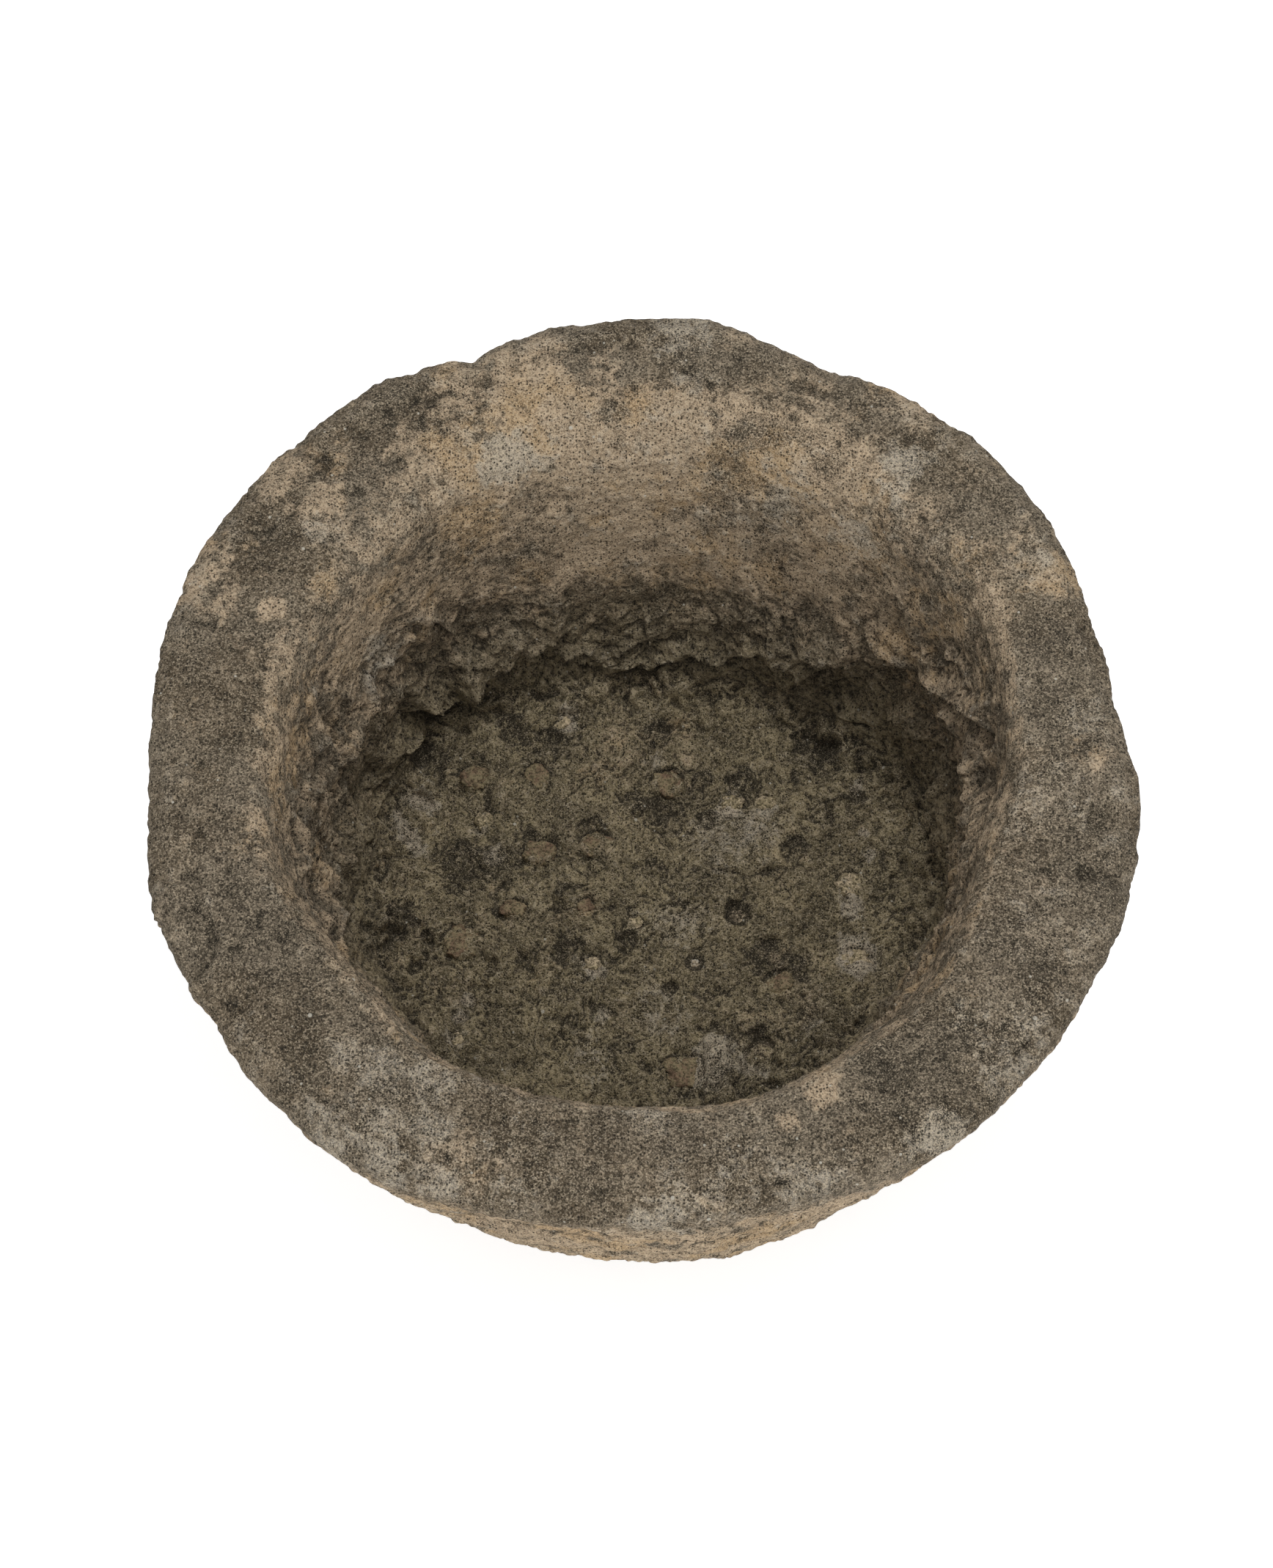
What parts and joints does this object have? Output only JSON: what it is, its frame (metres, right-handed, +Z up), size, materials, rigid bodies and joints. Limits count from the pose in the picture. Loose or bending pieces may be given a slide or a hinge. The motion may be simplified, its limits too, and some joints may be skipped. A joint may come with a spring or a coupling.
{
  "type": "stone mortar",
  "caption": "Deep legless mortar hollowed from one volcanic boulder, with a broad worn rim, a low lug and a rough bowl holding bared lumps of other rock.",
  "frame": {"origin": "middle of the flat base, on the surface that it rests on", "axes": "+Z up out of the bowl, +Y towards the lug at the back of the rim, -Y towards the user, +X to the right"},
  "size_m": [0.5472, 0.5616, 0.265],
  "materials": {
    "grey_stone": "rough, pitted, weathered grey-brown volcanic stone with lichen",
    "red_rock": "dull reddish-brown rock, bared by the dressing of the floor",
    "pale_rock": "dull cream rock, slightly soiled",
    "dark_grit": "coarse dusty grains",
    "white_rock": "worn off-white pebble"
  },
  "bodies": {
    "root": {"stone_block": "grey_stone", "red_clasts": "red_rock", "pale_clasts": "pale_rock", "pit_grit": "dark_grit", "pale_pebble": "white_rock"}
  },
  "joints": []
}
